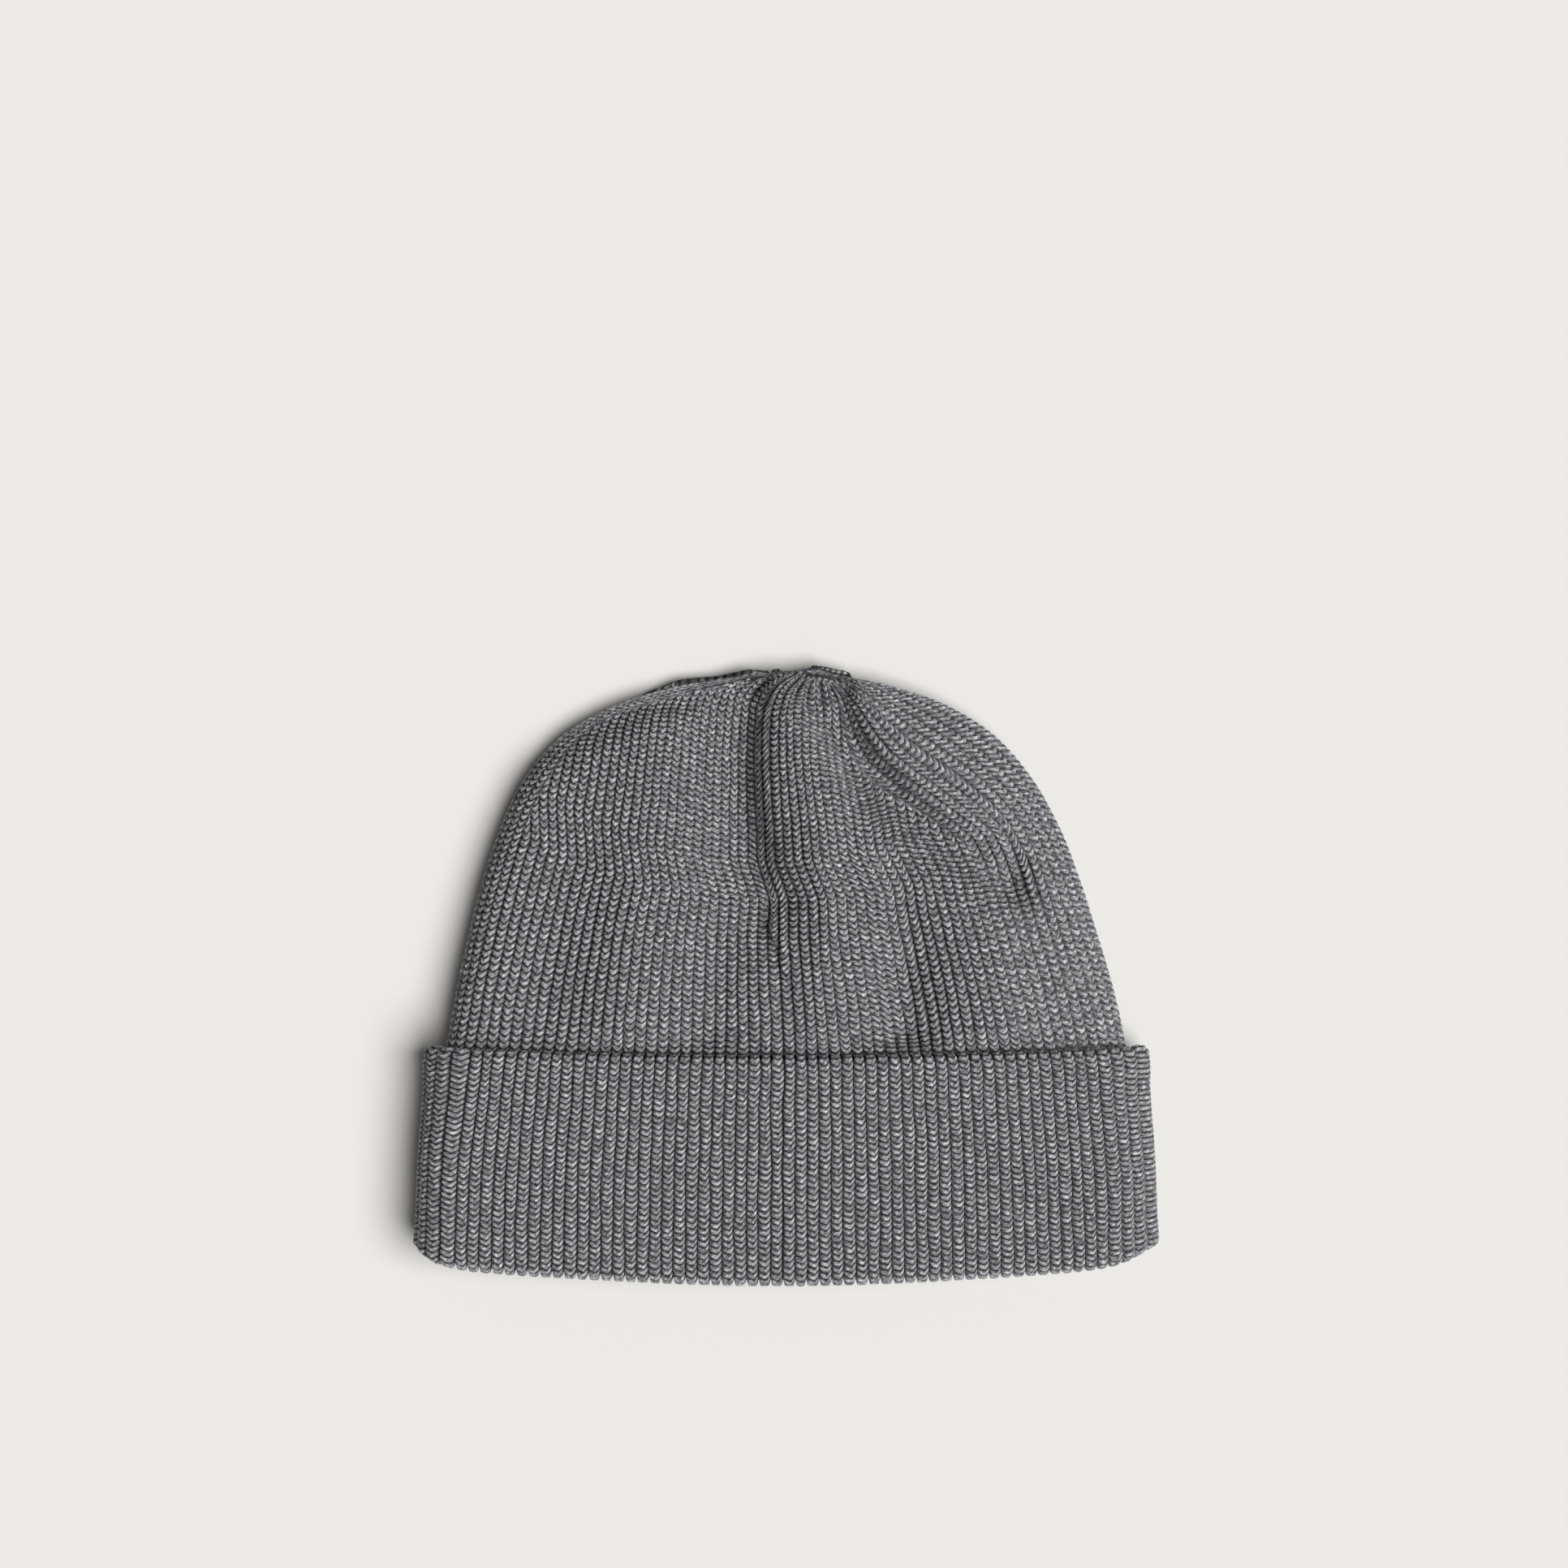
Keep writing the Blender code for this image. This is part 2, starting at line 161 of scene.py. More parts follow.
# Rows of the cuff's path, and how far it reaches inside its top edge and inside the mouth
HIDDEN_REACH = 0.16
INNER_ROWS = 8
EDGE_ROWS = 11
OUTER_ROWS = 70
FOLD_ROWS = 15
LIP_ROWS = 9
EDGE_RADIUS = KNIT_WALL * 0.62
FREE_RANGE = (-0.9, -0.3)  # a normal's Z, from where the cuff lies tight to where it can spring out
FLARE_POWER = 3
LOWER_HALF = (0.4, 0.6)  # shares of the path between its upper and its lower half
LEVEL_STEP = 0.002  # for measuring which way is up the cloth

# The hollow's wall, which gets thinner towards the tip
INSIDE_LOW = FOLD_LEVEL + 0.12
INSIDE_HIGH = 0.985
INSIDE_LOWER_ROWS = 46
INSIDE_UPPER_ROWS = 80
INSIDE_RELIEF = 0.0006
THIN_LEVEL = 0.7
THIN_SHARE = 0.5


def along_cap(share):
    """Distance from the cuff's top edge along Y for a level."""
    share = np.asarray(share, float)
    return np.where(share < 0, share * CUFF_HEIGHT, share * CROWN_RISE)


def section_table():
    """The sections as a dictionary of columns, with the lengths along Y in metres."""
    columns = dict(zip(SECTION_COLUMNS, np.array(SECTIONS).T))
    columns["middle"] = along_cap(columns["level"])
    columns["side"] = along_cap(columns["side"])
    return columns


SECTION = section_table()


def at_level(level, name):
    """A column of the sections at any level, on a smooth curve through its rows."""
    level = np.clip(level, -1.0, 1.0)
    levels, values = SECTION["level"], SECTION[name]
    slopes = np.gradient(values, levels)
    row = np.clip(np.searchsorted(levels, level, side="right") - 1, 0, len(levels) - 2)
    span = levels[row + 1] - levels[row]
    s = (level - levels[row]) / span
    rise = values[row + 1] - values[row]
    bow = (1 - s) * (slopes[row] * span - rise) - s * (slopes[row + 1] * span - rise)
    return values[row] + s * rise + s * (1 - s) * bow


def ramp(x, low, high):
    """0 below low, 1 above high, smooth between."""
    s = np.clip((x - low) / (high - low), 0, 1)
    return s * s * (3 - 2 * s)


def bulge(distance, width):
    """A quarter of an ellipse: 0 at the edge, 1 from width inwards."""
    return np.sqrt(1 - (1 - np.clip(distance / width, 0, 1)) ** 2)


def rounding(width, half):
    """The rounding's width, which shrinks where the section gets narrow."""
    return width * (1 - np.exp(-half / width)) + 1e-9


def half_section(level, front):
    """Fine points of half a section, from the right side to the left: across (-1 to 1), x and z."""
    across = np.cos(np.linspace(0, np.pi, FINE_STEPS))
    half = max(float(at_level(level, "half")), 0) * HALF_WIDTH
    x = float(at_level(level, "drift")) * HALF_WIDTH + half * across
    inwards = (1 - np.abs(across)) * half
    right = across > 0
    size = CROWN_THICKNESS
    middle_widest = (at_level(level, "left_widest") + at_level(level, "right_widest")) / 2
    lean = (at_level(level, "right_widest") - at_level(level, "left_widest")) / 2
    widest = size * (middle_widest + lean * across)
    if front:
        top = at_level(level, "top")
        crest = np.where(right, at_level(level, "right_crest"), at_level(level, "left_crest"))
        crest = size * (top - (top - crest) * across**2)
        width = np.where(right, rounding(RIGHT_ROUND, half), rounding(LEFT_ROUND, half))
        z = widest + (crest - widest) * bulge(inwards, width)
    else:
        lift = LAYER * (1 - ramp(level, STEP_START, STEP_END))
        floor = np.maximum(size * at_level(level, "underside"), 0) + lift
        z = floor + (widest - floor) * (1 - bulge(inwards, rounding(FLOOR_ROUND, half)))
    return across, x, z


def sweep_up(level, across, round_share):
    """How far towards the sides' height a row of stitches has come, 0 in the middle, 1 at a side."""
    corner = CORNER_SHARE / (1 + (round_share / CORNER_WIDTH) ** 2)
    slow = (1 - CORNER_SHARE) * np.cos(round_share * np.pi / 2) ** 2
    tight = 1 - ramp(level, -1.0, SWEEP_START)
    return tight * (corner + slow) + (1 - tight) * across**2


def half_grid(level, shares, front):
    """Points of half a section: shares run 0 to 1 along it, from the right side to the left."""
    middle = float(at_level(level, "middle"))
    side = float(at_level(level, "side"))
    across, x, z = half_section(level, front)
    steps = np.hypot(np.diff(x), np.diff(z)) + 1e-12
    along = np.concatenate(([0], np.cumsum(steps)))
    along /= along[-1]
    here = np.interp(shares, along, across)
    swept = middle + (side - middle) * sweep_up(level, here, 1 - np.abs(2 * shares - 1))
    return np.stack(
        (np.interp(shares, along, x), CUFF_LINE + swept, np.interp(shares, along, z)), axis=1
    )


def fold_line(fold):
    """Points along a fold's bent line, in metres from the cuff's top edge."""
    s = np.linspace(0, 1, CURVE_STEPS)[:, None]
    start = np.array((fold["start_across"], fold["start_up"]))
    bend = np.array((fold["bend_across"], fold["bend_up"]))
    end = np.array((fold["end_across"], fold["end_up"]))
    line = (1 - s) ** 2 * start + 2 * s * (1 - s) * bend + s**2 * end
    return line * (HALF_WIDTH, CROWN_RISE)


def fold_depth(x, y):
    """How far the front is pushed in at a point of the plan."""
    depth = np.zeros_like(x)
    for row in FOLDS:
        fold = dict(zip(FOLD_COLUMNS, row))
        line = fold_line(fold)
        nearest = np.full(x.shape, np.inf)
        near_side = np.zeros(x.shape, bool)
        passed = np.zeros(x.shape)
        for i, ((ax, ay), (bx, by)) in enumerate(zip(line[:-1], line[1:])):
            length = (bx - ax) ** 2 + (by - ay) ** 2
            s = np.clip(((x - ax) * (bx - ax) + (y - ay) * (by - ay)) / length, 0, 1)
            away = (x - ax - s * (bx - ax)) ** 2 + (y - ay - s * (by - ay)) ** 2
            closer = away < nearest
            nearest = np.where(closer, away, nearest)
            side = (bx - ax) * (y - ay) - (by - ay) * (x - ax) > 0
            near_side = np.where(closer, side, near_side)
            passed = np.where(closer, (i + s) / (CURVE_STEPS - 1), passed)
        width = np.where(near_side, fold["width"], fold["far_width"]) * CROWN_THICKNESS
        deep = fold["depth"] + (fold["end_depth"] - fold["depth"]) * ramp(passed, FADE_START, 1.0)
        depth += deep * CROWN_THICKNESS * np.exp(-nearest / width**2)
    return depth


def surface(levels, shares, front):
    """Grid of points of the crown's outer face, rows by shares, with the folds of the front.

    shares is one row for all levels, or a row for each level.
    """
    levels = np.asarray(levels, float)
    shares = np.broadcast_to(shares, (len(levels), np.shape(shares)[-1]))
    grid = np.array([half_grid(level, row, front) for level, row in zip(levels, shares)])
    if front:
        tall = levels[:, None]
        widest = CROWN_THICKNESS * at_level(tall, "left_widest")
        room = np.maximum(grid[:, :, 2] - widest, LEAST_ROOM)
        upper = ramp(room, 0, DIP_RAMP * CROWN_THICKNESS) * ramp(tall, 0.0, DIP_START)
        depth = upper * fold_depth(grid[:, :, 0], grid[:, :, 1] - CUFF_LINE)
        # A fold never reaches the widest line, so that the front stays clear of the back
        deep = np.maximum(depth, 0)
        limited = deep / (1 + (deep / room) ** DIP_LIMIT) ** (1 / DIP_LIMIT)
        grid[:, :, 2] -= limited + np.minimum(depth, 0)
    return grid


def unit(vectors):
    """Vectors of length 1 along the last axis."""
    return vectors / np.maximum(np.linalg.norm(vectors, axis=-1, keepdims=True), 1e-12)


def grid_normals(grid, front):
    """Unit normals of a grid whose rows go up the cap and whose columns go right to left."""
    up = np.gradient(grid, axis=0)
    sideways = np.gradient(grid, axis=1)
    normal = np.cross(up, sideways)
    return unit(normal if front else -normal)


# Where the darts lie, as shares of the front from the right side to the left, and the width of a
# wale beside them. The darts and the left side's fold swallow the wales that have no room.
PANEL_COLUMNS = ("level", "right_dart", "middle_dart", "left_fold", "wale_width")
PANELS = (
    (0.30, 0.161, 0.516, 0.935, 0.00310),
    (0.40, 0.161, 0.512, 0.935, 0.00300),
    (0.45, 0.165, 0.521, 0.935, 0.00297),
    (0.50, 0.186, 0.532, 0.936, 0.00294),
    (0.55, 0.211, 0.533, 0.938, 0.00291),
    (0.60, 0.235, 0.536, 0.943, 0.00288),
    (0.65, 0.258, 0.545, 0.952, 0.00284),
    (0.70, 0.273, 0.557, 0.948, 0.00280),
    (0.75, 0.266, 0.572, 0.934, 0.00275),
    (0.80, 0.244, 0.593, 0.926, 0.00270),
    (0.85, 0.213, 0.634, 0.922, 0.00264),
    (0.88, 0.182, 0.676, 0.920, 0.00258),
    (0.93, 0.145, 0.735, 0.920, 0.00215),
    (0.97, 0.120, 0.760, 0.920, 0.00150),
    (1.00, 0.110, 0.770, 0.920, 0.00100),
)
RIGHT_WALES = 10
MIDDLE_WALES = 22
EDGE_WALES = 4
LEAST_WALES = 3  # wales that are never swallowed between two folds
SWALLOWED_WIDTH = 0.0006
KNOT_STEP = 1e-7  # keeps the knots in order where nothing is swallowed


def panel_table():
    """The panels as a dictionary of columns."""
    return dict(zip(PANEL_COLUMNS, np.array(PANELS).T))


def wale_shares(levels, wales):
    """Shares of the front, rows by levels, at which wales (counted from the right side) lie."""
    panel = panel_table()
    at = {name: np.interp(levels, panel["level"], panel[name]) for name in PANEL_COLUMNS}
    fine = np.linspace(0, 1, ARC_STEPS)
    left_wales = FRONT_WALES - RIGHT_WALES - MIDDLE_WALES - EDGE_WALES
    swallowed_middle = swallowed_left = 0.0
    rows = []
    for i, level in enumerate(levels):
        points = half_grid(level, fine, True)
        arc = np.linalg.norm(np.diff(points, axis=0), axis=1).sum()
        right, middle, left = (at[name][i] for name in PANEL_COLUMNS[1:4])
        room = arc / at["wale_width"][i]
        if level > PANELS[0][0]:
            swallowed_middle = max(swallowed_middle, MIDDLE_WALES - (middle - right) * room)
            swallowed_left = max(swallowed_left, left_wales - (left - middle) * room)
        swallowed_middle = min(swallowed_middle, MIDDLE_WALES - LEAST_WALES)
        swallowed_left = min(swallowed_left, left_wales - LEAST_WALES)
        middle_wale = RIGHT_WALES + MIDDLE_WALES
        left_wale = FRONT_WALES - EDGE_WALES
        knots = (
            (0, 0),
            (RIGHT_WALES, right),
            (RIGHT_WALES + swallowed_middle, right + SWALLOWED_WIDTH * swallowed_middle),
            (middle_wale, middle),
            (left_wale - swallowed_left, left - SWALLOWED_WIDTH * swallowed_left),
            (left_wale, left),
            (FRONT_WALES, 1),
        )
        number, share = np.array(knots, float).T
        number = number + np.arange(len(number)) * KNOT_STEP
        row = np.interp(wales, number, share)
        # Below the darts the wales are even
        mix = ramp(level, 0.0, PANELS[0][0])
        rows.append(mix * row + (1 - mix) * wales / FRONT_WALES)
    return np.array(rows)


def respaced(path, wanted, vectors):
    """Vectors on a path's points, taken at wanted distances along each of its columns."""
    steps = np.linalg.norm(np.diff(path, axis=0), axis=2)
    along = np.concatenate((np.zeros((1, path.shape[1])), np.cumsum(steps, axis=0)))
    out = np.empty(wanted.shape + (3,))
    for column in range(path.shape[1]):
        for axis in range(3):
            out[:, column, axis] = np.interp(
                wanted[:, column], along[:, column], vectors[:, column, axis]
            )
    return out


def stitch_shape(wale, course, form):
    """Height and ridge (0 to 1) of the knit, and its phase, which is even along each strand.

    Each stitch is a V with a wide flat left arm and a narrow steep right arm.
    """
    across = 1 - (wale - np.floor(wale))
    left = form["left_rise"] * (1 - across / form["valley"])
    right = form["right_rise"] * (across - form["valley"]) / (1 - form["valley"])
    phase = course - np.where(across < form["valley"], left, right)
    q = phase - np.floor(phase)
    strand = np.sqrt(np.maximum(1 - (2 * q - 1) ** 2, 0))
    ridge = np.sqrt(np.maximum(1 - np.abs(2 * across - 1) ** form["squareness"], 0))
    height = ridge * (1 - form["strand_depth"] * (1 - strand))
    return height, ridge, phase


CUFF_STITCH = {
    "valley": 0.60, "left_rise": 0.42, "right_rise": 0.90, "squareness": 4.0, "strand_depth": 0.70,
}  # fmt: skip
CROWN_STITCH = {
    "valley": 0.55, "left_rise": 0.55, "right_rise": 0.75, "squareness": 3.0, "strand_depth": 0.80,
}  # fmt: skip
LINING_STITCH = {
    "valley": 0.50, "left_rise": 0.40, "right_rise": 0.40, "squareness": 2.0, "strand_depth": 0.50,
}  # fmt: skip


def wandered(grid, per_wale, per_course, size, rng):
    """The grid with each wale's edge moved sideways a little, as hand and yarn leave it."""
    rows, columns = grid.shape[:2]
    knots = rng.normal(0, 1, (rows // (per_course * WANDER_COURSES) + 3, columns // per_wale + 1))
    at_row = np.arange(rows) / (per_course * WANDER_COURSES)
    low = at_row.astype(int)
    part = (1 - np.cos(np.pi * (at_row - low))) / 2
    edges = knots[low] * (1 - part[:, None]) + knots[low + 1] * part[:, None]
    edges[:, (0, -1)] = 0
    at_column = np.arange(columns) / per_wale
    shift = np.array([np.interp(at_column, np.arange(edges.shape[1]), row) for row in edges])
    sideways = unit(np.gradient(grid, axis=1))
    return grid + sideways * (shift * size)[:, :, None]


def knit_mesh(name, points, wale, phase, ridge, painted_shade_share, kept):
    """A mesh of the kept quads of a grid, with the yarn's UV map, ridges and the share of painted
    shade kept.
    """
    rows, columns = points.shape[:2]
    number = np.arange(rows * columns).reshape(rows, columns)
    a = number[:-1, :-1].ravel()
    b = number[1:, :-1].ravel()
    c = number[1:, 1:].ravel()
    d = number[:-1, 1:].ravel()
    flat = points.reshape(-1, 3)
    faces = np.stack((a, b, c, d), axis=1)[kept.ravel()]
    used = np.unique(faces)
    renumber = np.zeros(rows * columns, int)
    renumber[used] = np.arange(len(used))
    faces = renumber[faces]
    mesh = bpy.data.meshes.new(name)
    mesh.vertices.add(len(used))
    mesh.vertices.foreach_set("co", flat[used].ravel())
    mesh.loops.add(faces.size)
    mesh.loops.foreach_set("vertex_index", faces.ravel())
    mesh.polygons.add(len(faces))
    mesh.polygons.foreach_set("loop_start", np.arange(len(faces)) * 4)
    mesh.polygons.foreach_set("loop_total", np.full(len(faces), 4))
    mesh.update(calc_edges=True)
    uv = mesh.uv_layers.new(name="yarn")
    coordinates = np.stack((wale.ravel()[used], phase.ravel()[used]), axis=1)
    uv.uv.foreach_set("vector", coordinates[faces.ravel()].astype(np.float32).ravel())
    ridges = mesh.attributes.new("ridge", "FLOAT", "POINT")
    ridges.data.foreach_set("value", ridge.ravel()[used].astype(np.float32))
    # Share of the gaps' and channels' painted shade that is kept
    painted_shade_layer = mesh.attributes.new("painted_shade_share", "FLOAT", "POINT")
    painted_shade_layer.data.foreach_set("value", painted_shade_share.ravel()[used].astype(np.float32))
    mesh.shade_smooth()
    piece = bpy.data.objects.new(name, mesh)
    bpy.context.scene.collection.objects.link(piece)
    return piece


def pressed(down, least):
    """Share of the relief: 1 where the cloth is free, least where it lies on the floor."""
    return least + (1 - least) * ramp(down, *PRESSED_RANGE)


def wale_numbers(rows, columns, front):
    """Each point's place in wales, counted from the right side over the front and back below."""
    wale = np.linspace(0, FRONT_WALES, columns)[None, :] * np.ones((rows, 1))
    return wale if front else wale + FRONT_WALES


def out_of_step(size, per_wale, columns, rng):
    """How far each column's stitches are out of step, the same over a wale."""
    return np.repeat(rng.normal(0, size, FRONT_WALES + 1), per_wale)[:columns]


def finish_piece(piece, material, node):
    """Puts a piece in the frame in place of its CAD node."""
    piece.data.materials.append(material)
    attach(piece, "root")
    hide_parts(node)


def add_pieces(name, parts, points, layers, kept, flipped, material, node):
    """Cuts a grid and its layers into parts side by side, which share their edge, and adds them."""
    edges = np.linspace(0, points.shape[1] - 1, parts + 1).astype(int)
    for number, (low, high) in enumerate(zip(edges[:-1], edges[1:]), start=1):
        piece_name = f"{name}_{number}" if parts > 1 else name
        cut_layers = [layer[:, low : high + 1] for layer in layers]
        piece = knit_mesh(piece_name, points[:, low : high + 1], *cut_layers, kept[:, low:high])
        if flipped:
            piece.data.flip_normals()
        finish_piece(piece, material, node)


def build_crown(name, front, per_wale, per_course, parts, material, rng):
    """The crown's outer cloth, from just inside the cuff to the tip."""
    columns = FRONT_WALES * per_wale + 1
    shares = np.linspace(0, 1, columns)
    jitter = out_of_step(CROWN_JITTER, per_wale, columns, rng)
    hidden = np.linspace(CROWN_LOW, 0, HIDDEN_ROWS + 1)[:-1]
    levels = np.concatenate((hidden, np.linspace(0, 1, SHOWN_ROWS)))
    path = surface(levels, wale_shares(levels, shares * FRONT_WALES) if front else shares, front)
    steps = np.linalg.norm(np.diff(path, axis=0), axis=2)
    total = steps.sum(axis=0)
    start = steps[:HIDDEN_ROWS].sum(axis=0)
    across = np.cos(np.pi * shares)
    pitch = CROWN_PITCH + (CROWN_SIDE_PITCH - CROWN_PITCH) * across**2
    first = -math.floor((start / pitch).min() * per_course)
    last = math.ceil(((total - start) / pitch).max() * per_course)
    course = (np.arange(first, last + 1) / per_course)[:, None] * np.ones(columns)
    wanted = np.minimum(start + course * pitch, total)
    grid = respaced(path, wanted, path)
    # A column's rows past the tip fall on it, and their faces are left out
    live = wanted < total - TIP_MARGIN
    kept = live[:-1, :-1] | live[:-1, 1:]
    normal = grid_normals(grid, front)
    side_step = np.linalg.norm(np.gradient(grid, axis=1), axis=2) * per_wale
    width = np.clip(side_step / (CROWN_WIDTH / FRONT_WALES), *WALE_RANGE)
    wale = wale_numbers(len(grid), columns, front)
    height, ridge, phase = stitch_shape(wale, course + jitter, CROWN_STITCH)
    relief = CROWN_RELIEF * width
    if not front:
        relief = relief * pressed(normal[:, :, 2], CROWN_PRESSED)
    lift = (height - (CROWN_SUNK if front else 1)) * relief
    fade = ramp(total - wanted, 0, TIP_FADE)
    grid = wandered(grid, per_wale, per_course, CROWN_WANDER * np.minimum(width, 1), rng)
    if front:
        # Pairs of wales are drawn together into pleats near the tip
        gathered = 1 - ramp(total - wanted, GATHER_END, GATHER_START)
        pleat = gathered * (1 - np.cos(np.pi * wale)) / 2
        lift = lift - GATHER_DEPTH * pleat
        # Painted shade in the pleats' creases, carried to the yarn through the ridge attribute
        ridge = ridge * (1 - GATHER_PAINTED_SHADE * pleat)
    points = grid + normal * (lift * fade)[:, :, None]
    # Less painted shade where the wales crowd together, and painted light towards the right side
    painted_shade_share = LEAST_OPEN + (1 - LEAST_OPEN) * ramp(width, *CROWDED_RANGE)
    if front:
        painted_shade_share = painted_shade_share * (1 - RIGHT_PAINTED_LIGHT * ramp(across, *RIGHT_RANGE))
    else:
        points[:, :, 2] = np.maximum(points[:, :, 2], 0.0)
    layers = (wale, phase, ridge, painted_shade_share)
    add_pieces(name, parts, points, layers, kept, not front, material, "crown")


def cuff_path(shares, front):
    """The cuff's cloth in section: up inside its top edge, over it, down, and round the fold."""
    top = -EDGE_RADIUS / CUFF_HEIGHT
    lip_end = FOLD_LEVEL + HIDDEN_REACH
    rows = [(level, "inner", 0.0) for level in np.linspace(-HIDDEN_REACH, top, INNER_ROWS)[:-1]]
    rows += [(top, "edge", turn) for turn in np.linspace(np.pi, 0, EDGE_ROWS)]
    rows += [(level, "outer", 0.0) for level in np.linspace(top, FOLD_LEVEL, OUTER_ROWS)[1:-1]]
    rows += [(FOLD_LEVEL, "fold", turn) for turn in np.linspace(0, np.pi, FOLD_ROWS)]
    rows += [(level, "lip", 0.0) for level in np.linspace(FOLD_LEVEL, lip_end, LIP_ROWS)[1:]]
    levels = np.array([row[0] for row in rows])
    base = surface(levels, shares, front)
    above = surface(levels + LEVEL_STEP, shares, front)
    up = unit(above - base)
    around = np.gradient(base, axis=1)
    normal = unit(np.cross(up, around))
    if not front:
        normal = -normal
    up = unit(up - normal * (up * normal).sum(axis=2, keepdims=True))
    points = np.empty_like(base)
    facing = np.empty_like(base)
    for i, (level, part, turn) in enumerate(rows):
        n, u = normal[i], up[i]
        free = ramp(n[:, 2], *FREE_RANGE)
        flare = CUFF_FLARE * free * max((level - FOLD_LEVEL) / -FOLD_LEVEL, 0) ** FLARE_POWER
        stand = (LAYER + flare)[:, None]
        if part == "outer":
            points[i] = base[i] + n * stand
            facing[i] = n
        elif part == "inner":
            points[i] = base[i] + n * (stand - 2 * EDGE_RADIUS)
            facing[i] = -n
        elif part == "edge":
            way = n * math.cos(turn) + u * math.sin(turn)
            points[i] = base[i] + n * (stand - EDGE_RADIUS) + way * EDGE_RADIUS
            facing[i] = way
        elif part == "fold":
            way = n * math.cos(turn) - u * math.sin(turn)
            points[i] = base[i] + n * (LAYER_GAP / 2) + way * FOLD_REACH
            facing[i] = way
        else:
            points[i] = base[i] - n * KNIT_WALL
            facing[i] = -n
    return points, facing


def build_cuff(name, front, per_wale, per_course, parts, material, rng):
    """The cuff's cloth, a sheet that covers its outer face, both its edges and its lip."""
    columns = FRONT_WALES * per_wale + 1
    shares = np.linspace(0, 1, columns)
    path, facing = cuff_path(shares, front)
    steps = np.linalg.norm(np.diff(path, axis=0), axis=2)
    total = steps.sum(axis=0)
    courses = round(float(np.median(total)) / CUFF_PITCH * per_course)
    course = (np.arange(courses + 1) / per_course)[:, None] * np.ones(columns)
    wanted = course / course[-1] * total
    grid = respaced(path, wanted, path)
    way = unit(respaced(path, wanted, facing))
    wale = wale_numbers(len(grid), columns, front)
    jitter = out_of_step(CUFF_JITTER, per_wale, columns, rng)
    # The path runs down the cuff, and the stitches' points face the mouth
    height, ridge, phase = stitch_shape(wale, -course + jitter, CUFF_STITCH)
    relief = CUFF_RELIEF * np.ones_like(height)
    if not front:
        relief *= pressed(way[:, :, 2], CUFF_PRESSED)
    grid = wandered(grid, per_wale, per_course, CUFF_WANDER * np.ones_like(height), rng)
    # The stitches sink in fully round the fold, so that it keeps the CAD's outline
    fold_turn = ramp(-way[:, :, 1], 0.0, 1.0) * ramp(wanted / total, *LOWER_HALF)
    sunk = CUFF_SUNK + (1 - CUFF_SUNK) * fold_turn if front else 1
    lift = (height - sunk) * relief
    points = grid + way * lift[:, :, None]
    points[:, :, 2] = np.maximum(points[:, :, 2], 0.0)
    layers = (wale, phase, ridge, np.ones_like(height))
    kept = np.ones((courses, columns - 1), bool)
    add_pieces(name, parts, points, layers, kept, front, material, "cuff")


def build_inside(name, front, per_wale, material):
    """The hollow's wall, seen through the mouth: the other face of the crown's cloth."""
    columns = FRONT_WALES * per_wale + 1
    shares = np.linspace(0, 1, columns)
    lower = np.linspace(INSIDE_LOW, 0, INSIDE_LOWER_ROWS)[:-1]
    levels = np.concatenate((lower, np.linspace(0, INSIDE_HIGH, INSIDE_UPPER_ROWS)))
    wales = wale_shares(levels, shares * FRONT_WALES) if front else shares
    grid = surface(levels, wales, front)
    normal = grid_normals(grid, front)
    wale = wale_numbers(len(grid), columns, True)
    steps = np.linalg.norm(np.diff(grid[:, columns // 2], axis=0), axis=1)
    along = np.concatenate(([0], np.cumsum(steps)))
    course = (along / CROWN_PITCH)[:, None] * np.ones(columns)
    height, ridge, phase = stitch_shape(wale, course, LINING_STITCH)
    room = 1 - ramp(levels, THIN_LEVEL, INSIDE_HIGH)[:, None] * THIN_SHARE
    points = grid - normal * (KNIT_WALL * room + INSIDE_RELIEF * height)[:, :, None]
    layers = (wale, phase, ridge, np.ones_like(ridge))
    kept = np.ones((len(grid) - 1, columns - 1), bool)
    add_pieces(name, 1, points, layers, kept, front, material, "crown")


def math_node(tree, operation, *values):
    """The output of a maths node; each value is a number or another node's output."""
    made = tree.nodes.new("ShaderNodeMath")
    made.operation = operation
    for slot, value in zip(made.inputs, values):
        if isinstance(value, (int, float)):
            slot.default_value = value
        else:
            tree.links.new(value, slot)
    return made.outputs[0]


def noise(tree, vector, scale, detail, roughness, flat=False):
    """The value of a noise texture."""
    made = tree.nodes.new("ShaderNodeTexNoise")
    made.noise_dimensions = "2D" if flat else "3D"
    made.inputs["Scale"].default_value = scale
    made.inputs["Detail"].default_value = detail
    made.inputs["Roughness"].default_value = roughness
    tree.links.new(vector, made.inputs["Vector"])
    return made.outputs["Fac"]


def colour_ramp(tree, value, stops):
    """The colour of a ramp with stops of place and colour."""
    made = tree.nodes.new("ShaderNodeValToRGB")
    elements = made.color_ramp.elements
    while len(elements) < len(stops):
        elements.new(0.5)
    for element, (place, colour) in zip(elements, stops):
        element.position = place
        element.color = (*colour, 1)
    tree.links.new(value, made.inputs["Fac"])
    return made.outputs["Color"]


def multiplied(tree, first, second):
    """Two colours multiplied."""
    made = tree.nodes.new("ShaderNodeMix")
    made.data_type = "RGBA"
    made.blend_type = "MULTIPLY"
    made.inputs["Factor"].default_value = 1.0
    tree.links.new(first, made.inputs[6])
    tree.links.new(second, made.inputs[7])
    return made.outputs[2]
